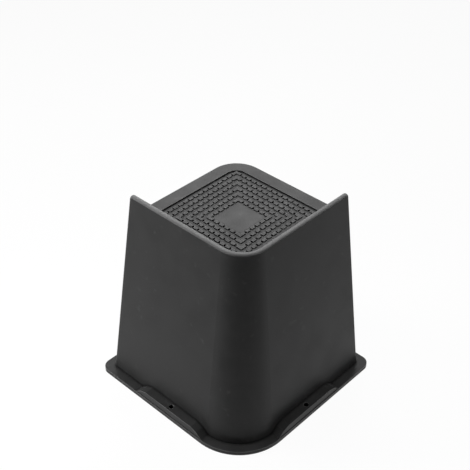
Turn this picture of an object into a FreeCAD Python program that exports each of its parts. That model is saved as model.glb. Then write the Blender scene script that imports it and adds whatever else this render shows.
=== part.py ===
import FreeCAD, Part
import math
import os
import Sketcher

# Bed riser, moulded in one piece: a hollow block that tapers from a flanged foot to a square deck.
# The deck has a recess full of raised studs, and a guard wall stands on the two sides at -X and -Y.
# Origin: middle of the foot, on the floor, +Z up. Millimetres.
# Of the block's four upright corners, the guard's own corner and the one across from it are round,
# and the two where the guard ends are tight. The sides lean in, so a round corner is part of a cone.

NODE = "riser_body"
SIZES = {
    # Block
    "foot_width": 125.2,
    "top_width": 98.2,
    "deck_height": 134.8,
    "foot_round_radius": 31.5,
    "edge_radius": 1.7,
    # Shell
    "wall": 3.0,
    "deck_thickness": 3.0,
    "rib_thickness": 2.4,
    "rib_depth": 30.0,
    # Flange, with a raised bridge and a screw hole in the middle of each side
    "flange_overhang": 6.7,
    "flange_thickness": 3.0,
    "flange_tight_radius": 7.0,
    "bridge_length": 44.0,
    "bridge_shoulder": 5.0,
    "bridge_shoulder_drop": 1.5,
    "bridge_ramp": 5.0,
    "bridge_height": 8.4,
    "bridge_inset": 0.4,
    "bridge_wall": 1.6,
    "hole_diameter": 3.6,
    # Guard, upright on its inside, with a low ledge along its root
    "guard_height": 17.6,
    "guard_top": 2.6,
    "guard_tip_radius": 3.5,
    "guard_inner_radius": 0.7,
    "ledge_width": 2.0,
    "ledge_height": 0.6,
    # Deck
    "deck_border": 10.0,
    "deck_edge_radius": 0.6,
    "recess_depth": 0.9,
    "recess_radius": 8.0,
    "stud_width": 2.0,
    "stud_height": 0.55,
    "notch_width": 1.5,
    "notch_depth": 1.2,
}
FIRST_RING = 3  # rings are counted in grid steps from the middle of the deck
LAST_RING = 8
SIDES = 4
TOUCH = 1e-3  # mm, for telling where an edge lies

doc = FreeCAD.newDocument("bed_riser")
sizes = doc.addObject("Spreadsheet::Sheet", "sizes")
for row, (alias, number) in enumerate(SIZES.items(), start=1):
    sizes.set(f"A{row}", alias)
    sizes.set(f"B{row}", str(number))
    sizes.setAlias(f"B{row}", alias)
doc.recompute()

body = doc.addObject("PartDesign::Body", NODE)
ORIGIN = {feature.Role: feature for feature in body.Origin.OriginFeatures}


def lean_at(z):
    """Expression for how far a side has leaned in at a height."""
    return f"((sizes.foot_width - sizes.top_width) / 2 * ({z}) / {TOP})"


def half_at(z):
    return f"(sizes.foot_width / 2 - {lean_at(z)})"


def round_at(z):
    return f"(sizes.foot_round_radius - {lean_at(z)})"


FLOOR = "0"
DECK = "sizes.deck_height"
TOP = "(sizes.deck_height + sizes.guard_height)"
LEAN_ANGLE = f"atan((sizes.foot_width - sizes.top_width) / 2 / {TOP})"
SEAT_HALF = f"({half_at(TOP)} - sizes.guard_top)"
SEAT_ROUND = f"({round_at(TOP)} - sizes.guard_top)"
LEDGE = "(sizes.deck_height + sizes.ledge_height)"
RECESS_FLOOR = "(sizes.deck_height - sizes.recess_depth)"
STUD_TOP = f"({RECESS_FLOOR} + sizes.stud_height)"
DECK_UNDERSIDE = f"({RECESS_FLOOR} - sizes.deck_thickness)"
FLANGE_HALF = "(sizes.foot_width / 2 + sizes.flange_overhang)"
BRIDGE_FACE = f"({FLANGE_HALF} - sizes.bridge_inset)"
RECESS_HALF = f"({half_at(DECK)} - sizes.deck_border)"
PITCH = f"(({RECESS_HALF} + sizes.stud_width / 2) / {LAST_RING + 1})"


def value(expression):
    return float(sizes.evalExpression(expression))


def sketch_on(plane, name, offset):
    """New sketch on one of the body's own planes, moved along the plane's normal."""
    sketch = body.newObject("Sketcher::SketchObject", name)
    sketch.AttachmentSupport = (ORIGIN[plane], [""])
    sketch.MapMode = "FlatFace"
    sketch.setExpression("AttachmentOffset.Base.z", offset)
    return sketch


def tie(sketch, plain, bound):
    """Adds plain constraints, and (kind, where, expression) ones that stay bound to their expression."""
    sketch.addConstraint([Sketcher.Constraint(*parts) for parts in plain])
    numbers = sketch.addConstraint([Sketcher.Constraint(kind, *where, value(expression))
                                    for kind, where, expression in bound])
    for number, (_, _, expression) in zip(numbers, bound):
        sketch.setExpression(f"Constraints[{number}]", expression)


def start_at(line, across, up):
    """Bound constraints that hold the start of a line at a point measured from the sketch's origin."""
    return [("DistanceX", (-1, 1, line, 1), across), ("DistanceY", (-1, 1, line, 1), up)]


def polygon(sketch, corners):
    """Closed outline of straight lines; each corner is a pair of expressions."""
    points = [FreeCAD.Vector(value(across), value(up)) for across, up in corners]
    lines = [sketch.addGeometry(Part.LineSegment(a, b)) for a, b in zip(points, points[1:] + points[:1])]
    plain = [("Coincident", line, 2, after, 1) for line, after in zip(lines, lines[1:] + lines[:1])]
    bound = [rule for line, corner in zip(lines, corners) for rule in start_at(line, *corner)]
    tie(sketch, plain, bound)


def box(left, right, low, high):
    """Corners of a rectangle."""
    return [(left, low), (right, low), (right, high), (left, high)]


def corner_arc(centre, radius, start):
    """Quarter circle, counter-clockwise from an angle in degrees."""
    circle = Part.Circle(centre, FreeCAD.Vector(0, 0, 1), radius)
    return Part.ArcOfCircle(circle, math.radians(start), math.radians(start + 90))


def outline(sketch, half, radii):
    """Square about the origin; its corners, in order from (-,-), have a radius or None for a sharp one."""
    h = value(half)
    signs = [(-1, -1), (1, -1), (1, 1), (-1, 1)]
    reach = [0.0 if radius is None else value(radius) for radius in radii]
    lines = []
    for index, (sx, sy) in enumerate(signs):
        along = FreeCAD.Vector((1, 0, -1, 0)[index], (0, 1, 0, -1)[index])
        corner = FreeCAD.Vector(sx * h, sy * h)
        end = 2 * h - reach[(index + 1) % SIDES]
        line = Part.LineSegment(corner + along * reach[index], corner + along * end)
        lines.append(sketch.addGeometry(line))
    plain = []
    bound = []
    for index, (radius, (sx, sy)) in enumerate(zip(radii, signs)):
        line = lines[index]
        level = index % 2 == 0
        plain.append(("Horizontal" if level else "Vertical", line))
        side = f"-{half}" if index in (0, 3) else half
        bound.append(("DistanceY" if level else "DistanceX", (-1, 1, line, 1), side))
        if radius is None:
            plain.append(("Coincident", lines[index - 1], 2, line, 1))
            continue
        centre = FreeCAD.Vector(sx * (h - reach[index]), sy * (h - reach[index]))
        arc = sketch.addGeometry(corner_arc(centre, reach[index], 180 + 90 * index))
        plain.append(("Tangent", lines[index - 1], 2, arc, 1))
        plain.append(("Tangent", arc, 2, line, 1))
        bound.append(("Radius", (arc,), radius))
    tie(sketch, plain, bound)


def seat_outline(sketch, half, radius):
    """Everything inside the guard: a rounded corner at (-,-), open past the two free sides."""
    reach = "(sizes.foot_width / 2)"
    h, r, far = value(half), value(radius), value(reach)
    left = sketch.addGeometry(Part.LineSegment(FreeCAD.Vector(-h, far), FreeCAD.Vector(-h, r - h)))
    arc = sketch.addGeometry(corner_arc(FreeCAD.Vector(r - h, r - h), r, 180))
    low = sketch.addGeometry(Part.LineSegment(FreeCAD.Vector(r - h, -h), FreeCAD.Vector(far, -h)))
    right = sketch.addGeometry(Part.LineSegment(FreeCAD.Vector(far, -h), FreeCAD.Vector(far, far)))
    high = sketch.addGeometry(Part.LineSegment(FreeCAD.Vector(far, far), FreeCAD.Vector(-h, far)))
    plain = [("Tangent", left, 2, arc, 1), ("Tangent", arc, 2, low, 1),
             ("Coincident", low, 2, right, 1), ("Coincident", right, 2, high, 1),
             ("Coincident", high, 2, left, 1), ("Vertical", left), ("Horizontal", low)]
    bound = [*start_at(left, f"-{half}", reach), *start_at(right, reach, f"-{half}"),
             *start_at(high, reach, reach), ("Radius", (arc,), radius)]
    tie(sketch, plain, bound)


def draft(name, faces, plane, outwards=False):
    """Leans upright faces by the side's angle, about the line where they meet a level plane."""
    base = body.Tip
    feature = body.newObject("PartDesign::Draft", name)
    feature.Base = (base, faces)
    feature.NeutralPlane = plane
    feature.Reversed = outwards
    feature.setExpression("Angle", LEAN_ANGLE)
    doc.recompute()


def faces_with(wanted):
    """Names of the last feature's faces for which wanted says yes, given the face and its middle."""
    names = []
    for index, face in enumerate(body.Tip.Shape.Faces, start=1):
        u_low, u_high, v_low, v_high = face.ParameterRange
        if wanted(face, face.valueAt((u_low + u_high) / 2, (v_low + v_high) / 2)):
            names.append(f"Face{index}")
    return names


def upright(face):
    return face.BoundBox.ZLength > TOUCH


def extrude(kind, name, sketch, length, upwards=True, side_type="One side"):
    """Pad along the sketch's normal, or Pocket along it (upwards) or against it."""
    feature = body.newObject(f"PartDesign::{kind}", name)
    feature.Profile = sketch
    feature.setExpression("Length", length)
    feature.Reversed = upwards if kind == "Pocket" else not upwards
    feature.SideType = side_type
    doc.recompute()
    return feature


def on_all_sides(name, originals):
    pattern = body.newObject("PartDesign::PolarPattern", name)
    pattern.Originals = originals
    pattern.Axis = (ORIGIN["Z_Axis"], [""])
    pattern.Angle = 360
    pattern.Occurrences = SIDES
    body.Tip = pattern
    doc.recompute()


def fillet(name, radius, wanted):
    """Rounds the edges whose end points and middle are all wanted."""
    base = body.Tip
    names = []
    for index, edge in enumerate(base.Shape.Edges, start=1):
        middle = edge.valueAt((edge.FirstParameter + edge.LastParameter) / 2)
        if all(wanted(point) for point in [middle] + [vertex.Point for vertex in edge.Vertexes]):
            names.append(f"Edge{index}")
    feature = body.newObject("PartDesign::Fillet", name)
    feature.Base = (base, names)
    feature.setExpression("Radius", radius)
    doc.recompute()


def depth(point, half, radius, sign=-1):
    """How far a point lies inside two sides and their round corner, at (-,-) or for sign 1 at (+,+)."""
    across, up = sorted((sign * point.x, sign * point.y))
    straight = value(half) - value(radius)
    if across > straight:
        return value(radius) - math.hypot(across - straight, up - straight)
    return value(half) - up


def below_skin(point, sign):
    """How far a point lies inside the block's leaning sides, those at -X and -Y or those at +X and +Y."""
    return depth(point, half_at(point.z), round_at(point.z), sign)


# Block: an upright prism, leaned in on all sides, and hollowed from below in the same way
block_profile = sketch_on("XY_Plane", "block_profile", FLOOR)
outline(block_profile, half_at(FLOOR), [round_at(FLOOR), None] * 2)
extrude("Pad", "block", block_profile, TOP)
draft("lean", faces_with(lambda face, middle: upright(face)), (ORIGIN["XY_Plane"], [""]))

hollow_profile = sketch_on("XY_Plane", "hollow_profile", FLOOR)
outline(hollow_profile, f"({half_at(DECK_UNDERSIDE)} - sizes.wall)",
        [f"({round_at(DECK_UNDERSIDE)} - sizes.wall)", None] * 2)
hollow = extrude("Pocket", "hollow", hollow_profile, DECK_UNDERSIDE)
roof_level = value(DECK_UNDERSIDE)
roof = faces_with(lambda face, middle: not upright(face) and abs(middle.z - roof_level) < TOUCH)
inside = faces_with(lambda face, middle: upright(face)
                    and all(below_skin(middle, sign) > TOUCH for sign in (-1, 1)))
draft("inside_lean", inside, (hollow, roof), outwards=True)

# Guard: everything above the deck is cut away inside it and past the two free sides
seat_profile = sketch_on("XY_Plane", "seat_profile", TOP)
seat_outline(seat_profile, SEAT_HALF, SEAT_ROUND)
extrude("Pocket", "seat", seat_profile, f"{TOP} - {LEDGE}", upwards=False)
ledge_profile = sketch_on("XY_Plane", "ledge_profile", LEDGE)
seat_outline(ledge_profile, f"({SEAT_HALF} - sizes.ledge_width)", f"({SEAT_ROUND} - sizes.ledge_width)")
extrude("Pocket", "ledge", ledge_profile, "sizes.ledge_height", upwards=False)

top_level = value(TOP)
deck_level = value(DECK)
tip_level = value(f"{TOP} - 2 * sizes.guard_tip_radius")
fillet("guard_tips", "sizes.guard_tip_radius",
       lambda point: abs(point.z - top_level) < TOUCH and below_skin(point, 1) < TOUCH)
fillet("edge_rounding", "sizes.edge_radius",
       lambda point: below_skin(point, -1) < TOUCH
       and (point.z > tip_level or abs(point.x + point.y) < TOUCH))
fillet("inner_rounding", "sizes.guard_inner_radius",
       lambda point: abs(depth(point, SEAT_HALF, SEAT_ROUND)) < TOUCH and point.z > tip_level)
fillet("deck_rounding", "sizes.deck_edge_radius",
       lambda point: abs(point.z - deck_level) < TOUCH and below_skin(point, 1) < TOUCH)

flange_profile = sketch_on("XY_Plane", "flange_profile", FLOOR)
FLANGE_ROUND = "(sizes.foot_round_radius + sizes.flange_overhang)"
MID_WALL = "(sizes.foot_width / 2 - sizes.wall / 2)"
outline(flange_profile, FLANGE_HALF, [FLANGE_ROUND, "sizes.flange_tight_radius"] * 2)
outline(flange_profile, MID_WALL, ["(sizes.foot_round_radius - sizes.wall / 2)", None] * 2)
extrude("Pad", "flange", flange_profile, "sizes.flange_thickness")

# Bridges: a raised length of flange, cored out from below, with a screw hole through its roof
HALF_BRIDGE = "(sizes.bridge_length / 2)"
SHOULDER_END = f"({HALF_BRIDGE} + sizes.bridge_shoulder)"
SHOULDER_LOW = "(sizes.bridge_height - sizes.bridge_shoulder_drop)"
BRIDGE_END = f"({SHOULDER_END} + sizes.bridge_ramp)"
bridge_profile = sketch_on("YZ_Plane", "bridge_profile", f"-{BRIDGE_FACE}")
polygon(bridge_profile, [(f"-{BRIDGE_END}", FLOOR), (BRIDGE_END, FLOOR),
                         (BRIDGE_END, "sizes.flange_thickness"), (SHOULDER_END, SHOULDER_LOW),
                         (HALF_BRIDGE, "sizes.bridge_height"), (f"-{HALF_BRIDGE}", "sizes.bridge_height"),
                         (f"-{SHOULDER_END}", SHOULDER_LOW), (f"-{BRIDGE_END}", "sizes.flange_thickness")])
bridge = extrude("Pad", "bridge", bridge_profile, f"{BRIDGE_FACE} - sizes.foot_width / 2 + sizes.wall / 2")

core_profile = sketch_on("XY_Plane", "core_profile", FLOOR)
HALF_CORE = f"({HALF_BRIDGE} - sizes.bridge_wall / 2)"
polygon(core_profile, box(f"-({BRIDGE_FACE} - sizes.bridge_wall)", "-(sizes.foot_width / 2)",
                          f"-{HALF_CORE}", HALF_CORE))
core = extrude("Pocket", "core", core_profile, "sizes.bridge_height - sizes.bridge_wall")

hole_profile = sketch_on("XY_Plane", "hole_profile", FLOOR)
HOLE_CENTRE = f"(({BRIDGE_FACE} + {half_at('sizes.bridge_height')}) / 2)"
HOLE_RADIUS = "sizes.hole_diameter / 2"
hole_middle = FreeCAD.Vector(-value(HOLE_CENTRE), 0, 0)
hole_circle = hole_profile.addGeometry(Part.Circle(hole_middle, FreeCAD.Vector(0, 0, 1), value(HOLE_RADIUS)))
tie(hole_profile, [("PointOnObject", hole_circle, 3, -1)],
    [("DistanceX", (-1, 1, hole_circle, 3), f"-{HOLE_CENTRE}"), ("Radius", (hole_circle,), HOLE_RADIUS)])
hole = extrude("Pocket", "hole", hole_profile, "sizes.bridge_height")
on_all_sides("bridges", [bridge, core, hole])

# Cross of ribs under the deck
RIB_LOW = f"({DECK_UNDERSIDE} - sizes.rib_depth)"
RIB_HIGH = f"({DECK_UNDERSIDE} + sizes.deck_thickness / 2)"
for plane in ("XZ_Plane", "YZ_Plane"):
    rib_profile = sketch_on(plane, f"rib_{plane[:2]}_profile", "0")
    low_end, high_end = (f"({half_at(z)} - sizes.wall / 2)" for z in (RIB_LOW, RIB_HIGH))
    polygon(rib_profile, [(f"-{low_end}", RIB_LOW), (low_end, RIB_LOW),
                          (high_end, RIB_HIGH), (f"-{high_end}", RIB_HIGH)])
    extrude("Pad", f"rib_{plane[:2]}", rib_profile, "sizes.rib_thickness", side_type="Symmetric")

# Stud field: square rings on the floor of a recess, with deep notches along the lines of one grid
recess_profile = sketch_on("XY_Plane", "recess_profile", DECK)
outline(recess_profile, RECESS_HALF, ["sizes.recess_radius"] * SIDES)
extrude("Pocket", "recess", recess_profile, "sizes.recess_depth", upwards=False)

ring_profile = sketch_on("XY_Plane", "ring_profile", RECESS_FLOOR)
for ring in range(FIRST_RING, LAST_RING + 1):
    for sign in "-+":
        half = f"({ring} * {PITCH} {sign} sizes.stud_width / 2)"
        polygon(ring_profile, box(f"-{half}", half, f"-{half}", half))
extrude("Pad", "rings", ring_profile, "sizes.stud_height")

notches = []
for ring in range(FIRST_RING, LAST_RING + 1):
    notch_profile = sketch_on("XY_Plane", f"notch_profile_{ring}", STUD_TOP)
    inner, outer = (f"({ring} * {PITCH} {sign} sizes.stud_width / 2)" for sign in "-+")
    for line in range(1 - ring, ring):
        low, high = (f"({line} * {PITCH} {sign} sizes.notch_width / 2)" for sign in "-+")
        polygon(notch_profile, box(inner, outer, low, high))
    notches.append(extrude("Pocket", f"notches_{ring}", notch_profile, "sizes.notch_depth", upwards=False))
on_all_sides("stud_field", notches)

# Nothing is written unless every feature came out
doc.recompute()
for item in doc.Objects:
    if {"Invalid", "Error"} & set(item.State):
        raise RuntimeError(f"{item.Name} failed: {item.State}")
if body.Shape.isNull() or not body.Shape.isValid() or len(body.Shape.Solids) != 1:
    raise RuntimeError(f"{NODE} is not one valid solid")
os.makedirs("parts", exist_ok=True)
body.Shape.exportStep(f"parts/{NODE}.step")
print(f"{NODE}: {body.Shape.Volume / 1000:.1f} cm3, {len(body.Shape.Faces)} faces")
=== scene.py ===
import math

import bpy
from mathutils import Matrix, Vector


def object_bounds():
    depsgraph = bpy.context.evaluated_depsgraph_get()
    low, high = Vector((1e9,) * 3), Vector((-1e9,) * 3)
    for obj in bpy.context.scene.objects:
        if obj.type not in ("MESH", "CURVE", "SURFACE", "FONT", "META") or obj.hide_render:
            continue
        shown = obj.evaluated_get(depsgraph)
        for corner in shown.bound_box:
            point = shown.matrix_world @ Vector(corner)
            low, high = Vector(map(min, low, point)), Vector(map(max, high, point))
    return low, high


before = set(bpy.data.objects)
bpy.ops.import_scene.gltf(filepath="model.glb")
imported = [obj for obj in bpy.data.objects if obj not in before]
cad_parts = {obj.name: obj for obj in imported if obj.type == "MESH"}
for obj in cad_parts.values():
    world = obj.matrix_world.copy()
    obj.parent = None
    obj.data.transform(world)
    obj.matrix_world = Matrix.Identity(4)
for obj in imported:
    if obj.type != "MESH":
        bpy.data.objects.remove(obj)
cad_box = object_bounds()
scene = bpy.context.scene
scene.view_settings.view_transform = "Standard"

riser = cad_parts["riser_body"]
foot_edge = cad_box[1][0]
top = cad_box[1][2]
UP = Vector((0.0, 0.0, 1.0))

# Camera: above the guard's corner, looking down on the deck; place in metres, angles in degrees, lens in mm
CAMERA_PLACE = Vector((-0.3568, -0.3250, 0.4836))
CAMERA_HEADING = 42.63
CAMERA_DIP = 37.01
CAMERA_ROLL = 0.883
CAMERA_LENS = 71.03

# Lamps: aimed a little above the riser's middle, or at the floor beside its foot
AIM_SHARE = 0.6
AIM = AIM_SHARE * top * UP
POOL_GAP = 0.06
POOL_SHIFT = 0.07

# Floor: pale paper just below the foot, shown white, and dark in the hollow under the riser
FLOOR_SIZE = 12.0
FLOOR_GAP = 0.0001
PAPER_LEVEL = 0.82
WHITE_SHARE = 0.95
HOLLOW_INSET = 0.0018
HOLLOW_FADE = 0.001
HOLLOW_RADIUS = foot_edge - HOLLOW_INSET
HOLLOW_SPAN = (HOLLOW_RADIUS, HOLLOW_RADIUS + HOLLOW_FADE)

# Plastic: how much light its tones give back, how strong its sheen is and how rough
DARK_LEVEL = 0.016
PALE_LEVEL = 0.023
PLASTIC_IOR = 1.5
SHEEN_LEVEL = 0.15
LEAST_ROUGHNESS = 0.34
MOST_ROUGHNESS = 0.48

# Mottling, scuffs and grain: scales are per metre, spans are the part of the noise that counts
MOTTLE_SCALE = 60.0
MOTTLE_DETAIL = 4.0
MOTTLE_SPAN = (0.3, 0.7)
SCUFF_SCALE = 150.0
SCUFF_DETAIL = 2.0
SCUFF_SPAN = (0.66, 0.80)
SCUFF_STRENGTH = 0.16
GRAIN_SCALE = 2200.0
GRAIN_DETAIL = 2.0
GRAIN_STRENGTH = 0.25
GRAIN_DEPTH = 0.00015

# Painted highlight on edges and painted shade in creases, which are also matt: spans are openness, where 1
# is a flat face
SHADING_SAMPLES = 8
WEAR_AND_HIGHLIGHT_LEVEL = 0.11
EDGE_HIGHLIGHT_WIDTH = 0.0004
EDGE_HIGHLIGHT_SPAN = (1.0, 0.6)
EDGE_ROUNDING = 0.0002
CREASE_SHADE_LEVEL = 0.001
CREASE_REACH = 0.0025
CREASE_SPAN = (0.55, 1.0)
CREASE_ROUGHNESS = 1.0

# The guard's rim: a painted highlight in its colour, and a shading normal turned flatter, over the last two
# millimetres below the top
RIM_HIGHLIGHT_LEVEL = 0.13
RIM_DEPTH = 0.0019
RIM_FADE = 0.0007
RIM_START = top - RIM_DEPTH
RIM_SPAN = (RIM_START, RIM_START + RIM_FADE)
RIM_FLATNESS = 0.75


def grey(level):
    return (level, level, level, 1.0)


def direction(azimuth, elevation):
    """Unit vector; azimuth counts from +X towards +Y, angles are in degrees."""
    around = math.radians(azimuth)
    above = math.radians(elevation)
    return Vector((math.cos(around) * math.cos(above), math.sin(around) * math.cos(above), math.sin(above)))


def add_camera():
    ahead = direction(CAMERA_HEADING, -CAMERA_DIP)
    level = ahead.cross(UP).normalized()
    upright = level.cross(ahead)
    roll = math.radians(CAMERA_ROLL)
    right = level * math.cos(roll) + upright * math.sin(roll)
    up = right.cross(ahead)
    data = bpy.data.cameras.new("camera")
    data.lens = CAMERA_LENS
    camera = bpy.data.objects.new("camera", data)
    turn = Matrix((right, up, -ahead)).transposed().to_4x4()
    camera.matrix_world = Matrix.Translation(CAMERA_PLACE) @ turn
    scene.collection.objects.link(camera)
    scene.camera = camera


def softbox(name, azimuth, elevation, distance, side, watts, spread=180.0, target=AIM):
    """Square lamp that stands away from its target and is aimed at it; angles are in degrees."""
    away = direction(azimuth, elevation)
    data = bpy.data.lights.new(name, "AREA")
    data.shape = "SQUARE"
    data.size = side
    data.energy = watts
    data.spread = math.radians(spread)
    lamp = bpy.data.objects.new(name, data)
    lamp.location = target + away * distance
    lamp.rotation_euler = away.to_track_quat("Z", "Y").to_euler()
    scene.collection.objects.link(lamp)


def back_lamp(name, elevation, watts):
    """Broad lamp opposite the camera, whose light glances off the deck."""
    softbox(name, CAMERA_HEADING, elevation, distance=0.55, side=0.30, watts=watts)


def floor_lamp(name, target, azimuth, watts):
    """Narrow lamp above the floor beside the foot, which lights the flange and its raised section."""
    softbox(name, azimuth, elevation=80.0, distance=0.5, side=0.20, watts=watts, spread=60.0, target=target)


def add_lamps():
    back_lamp("back_light", elevation=48.0, watts=1.4)
    back_lamp("low_back_light", elevation=40.0, watts=0.45)
    softbox("left_light", azimuth=125.0, elevation=15.0, distance=0.9, side=0.40, watts=3.7, spread=120.0)
    beside = foot_edge + POOL_GAP
    floor_lamp("left_pool", Vector((-beside, POOL_SHIFT, 0.0)), azimuth=135.0, watts=0.24)
    floor_lamp("right_pool", Vector((POOL_SHIFT, -beside, 0.0)), azimuth=-45.0, watts=0.15)


def shader_tree(owner):
    """Empty node tree of a material or world."""
    owner.use_nodes = True
    tree = owner.node_tree
    tree.nodes.clear()
    return tree


def add_node(tree, kind, **settings):
    made = tree.nodes.new(kind)
    for name, setting in settings.items():
        setattr(made, name, setting)
    return made


def noise(tree, place, scale, detail):
    made = add_node(tree, "ShaderNodeTexNoise")
    made.inputs["Scale"].default_value = scale
    made.inputs["Detail"].default_value = detail
    tree.links.new(place.outputs["Object"], made.inputs["Vector"])
    return made.outputs["Fac"]


def remap(tree, source, span, low=0.0, high=1.0):
    """Brings a number from its span to one between low and high, held at both ends."""
    made = add_node(tree, "ShaderNodeMapRange")
    made.inputs["From Min"].default_value, made.inputs["From Max"].default_value = span
    made.inputs["To Min"].default_value = low
    made.inputs["To Max"].default_value = high
    tree.links.new(source, made.inputs["Value"])
    return made.outputs["Result"]


def combine(tree, operation, first, second):
    """One number made from two."""
    made = add_node(tree, "ShaderNodeMath", operation=operation)
    tree.links.new(first, made.inputs[0])
    tree.links.new(second, made.inputs[1])
    return made.outputs[0]


def blend(tree, kind, share, first, second):
    """Colour or vector between a socket's one and a fixed one."""
    made = add_node(tree, "ShaderNodeMix", data_type=kind)
    tree.links.new(share, made.inputs["Factor"])
    tree.links.new(first, made.inputs["A"])
    made.inputs["B"].default_value = second
    return made.outputs["Result"]


def tint(tree, share, first, level):
    """Colour between a socket's colour and a grey."""
    return blend(tree, "RGBA", share, first, grey(level))


def openness(tree, reach, inside):
    """Share of open directions over a surface, or below it, where few mean an edge."""
    made = add_node(tree, "ShaderNodeAmbientOcclusion", samples=SHADING_SAMPLES, only_local=True)
    made.inside = inside
    made.inputs["Distance"].default_value = reach
    return made.outputs["AO"]


def plastic_colour(tree, place, drift, crease, height):
    """Near black, mottled and scuffed, with painted shade in creases, a painted highlight on edges and a
    paler painted highlight on the rim.
    """
    tone = add_node(tree, "ShaderNodeValToRGB")
    tone.color_ramp.elements[0].color = grey(DARK_LEVEL)
    tone.color_ramp.elements[1].color = grey(PALE_LEVEL)
    tree.links.new(remap(tree, drift, MOTTLE_SPAN), tone.inputs["Fac"])
    # Painted shade: the base colour darkens towards near black in creases and recesses
    crease_shade = remap(tree, crease, CREASE_SPAN, low=1.0, high=0.0)
    creased = tint(tree, crease_shade, tone.outputs["Color"], CREASE_SHADE_LEVEL)
    marks = noise(tree, place, SCUFF_SCALE, SCUFF_DETAIL)
    scuffs = remap(tree, marks, SCUFF_SPAN, high=SCUFF_STRENGTH)
    scuffed = tint(tree, scuffs, creased, WEAR_AND_HIGHLIGHT_LEVEL)
    # Painted highlight: thin convex edges are made paler, standing for light caught on rounded edges
    edge_highlight = remap(tree, openness(tree, EDGE_HIGHLIGHT_WIDTH, inside=True), EDGE_HIGHLIGHT_SPAN)
    edge_highlighted = tint(tree, edge_highlight, scuffed, WEAR_AND_HIGHLIGHT_LEVEL)
    # Painted highlight: the top of the guard's rim is made paler
    return tint(tree, remap(tree, height, RIM_SPAN), edge_highlighted, RIM_HIGHLIGHT_LEVEL)


def plastic_roughness(tree, drift, crease):
    """Uneven sheen, which the creases lose."""
    uneven = remap(tree, drift, MOTTLE_SPAN, low=LEAST_ROUGHNESS, high=MOST_ROUGHNESS)
    creased = remap(tree, crease, CREASE_SPAN, low=CREASE_ROUGHNESS, high=LEAST_ROUGHNESS)
    return combine(tree, "MAXIMUM", uneven, creased)


def plastic_normal(tree, place, height):
    """Fine grain over softened edges, with the rim turned towards the top."""
    edge = add_node(tree, "ShaderNodeBevel", samples=SHADING_SAMPLES)
    edge.inputs["Radius"].default_value = EDGE_ROUNDING
    tilt = remap(tree, height, RIM_SPAN, high=RIM_FLATNESS)
    turned = blend(tree, "VECTOR", tilt, edge.outputs["Normal"], UP)
    unit = add_node(tree, "ShaderNodeVectorMath", operation="NORMALIZE")
    tree.links.new(turned, unit.inputs[0])
    grain = add_node(tree, "ShaderNodeBump")
    grain.inputs["Strength"].default_value = GRAIN_STRENGTH
    grain.inputs["Distance"].default_value = GRAIN_DEPTH
    tree.links.new(noise(tree, place, GRAIN_SCALE, GRAIN_DETAIL), grain.inputs["Height"])
    tree.links.new(unit.outputs["Vector"], grain.inputs["Normal"])
    return grain.outputs["Normal"]


def plastic():
    """Matt black moulding: fine grain, uneven sheen, matt creases with painted shade, and painted
    highlights on edges and rim.
    """
    material = bpy.data.materials.new("moulded_plastic")
    tree = shader_tree(material)
    link = tree.links.new
    out = add_node(tree, "ShaderNodeOutputMaterial")
    skin = add_node(tree, "ShaderNodeBsdfPrincipled")
    skin.inputs["IOR"].default_value = PLASTIC_IOR
    skin.inputs["Specular IOR Level"].default_value = SHEEN_LEVEL
    link(skin.outputs["BSDF"], out.inputs["Surface"])
    place = add_node(tree, "ShaderNodeTexCoord")
    axes = add_node(tree, "ShaderNodeSeparateXYZ")
    link(place.outputs["Object"], axes.inputs["Vector"])
    height = axes.outputs["Z"]
    drift = noise(tree, place, MOTTLE_SCALE, MOTTLE_DETAIL)
    crease = openness(tree, CREASE_REACH, inside=False)
    link(plastic_colour(tree, place, drift, crease, height), skin.inputs["Base Color"])
    link(plastic_roughness(tree, drift, crease), skin.inputs["Roughness"])
    link(plastic_normal(tree, place, height), skin.inputs["Normal"])
    return material


def in_view(tree):
    """One for what is seen straight on, mirrored or through glass; nothing for light on matt faces."""
    path = add_node(tree, "ShaderNodeLightPath")
    mirrored = combine(tree, "MAXIMUM", path.outputs["Is Glossy Ray"], path.outputs["Is Transmission Ray"])
    return combine(tree, "MAXIMUM", path.outputs["Is Camera Ray"], mirrored)


def floor_whiteness(tree):
    """Nearly full on the open floor, nothing in the dark that the screw holes look into."""
    place = add_node(tree, "ShaderNodeTexCoord")
    radius = add_node(tree, "ShaderNodeVectorMath", operation="LENGTH")
    tree.links.new(place.outputs["Object"], radius.inputs[0])
    return remap(tree, radius.outputs["Value"], HOLLOW_SPAN, high=WHITE_SHARE)


def floor_paper():
    """Pale paper that shows white, with the riser's soft shadow left on it."""
    material = bpy.data.materials.new("floor_paper")
    tree = shader_tree(material)
    link = tree.links.new
    out = add_node(tree, "ShaderNodeOutputMaterial")
    paper = add_node(tree, "ShaderNodeBsdfDiffuse")
    paper.inputs["Color"].default_value = grey(PAPER_LEVEL)
    white = add_node(tree, "ShaderNodeEmission")
    white.inputs["Strength"].default_value = 1.0
    mix = add_node(tree, "ShaderNodeMixShader")
    link(combine(tree, "MULTIPLY", in_view(tree), floor_whiteness(tree)), mix.inputs["Fac"])
    link(paper.outputs["BSDF"], mix.inputs[1])
    link(white.outputs["Emission"], mix.inputs[2])
    link(mix.outputs["Shader"], out.inputs["Surface"])
    return material


def add_floor():
    bpy.ops.mesh.primitive_plane_add(size=FLOOR_SIZE, location=-FLOOR_GAP * UP)
    floor = bpy.context.object
    floor.name = "floor"
    floor.data.materials.append(floor_paper())


def add_world():
    """White past the floor's end, without any light of its own on matt surfaces."""
    world = bpy.data.worlds.new("studio")
    scene.world = world
    tree = shader_tree(world)
    out = add_node(tree, "ShaderNodeOutputWorld")
    air = add_node(tree, "ShaderNodeBackground")
    air.inputs["Color"].default_value = grey(1.0)
    tree.links.new(in_view(tree), air.inputs["Strength"])
    tree.links.new(air.outputs["Background"], out.inputs["Surface"])


riser.data.materials.clear()
riser.data.materials.append(plastic())
add_floor()
add_world()
add_camera()
add_lamps()
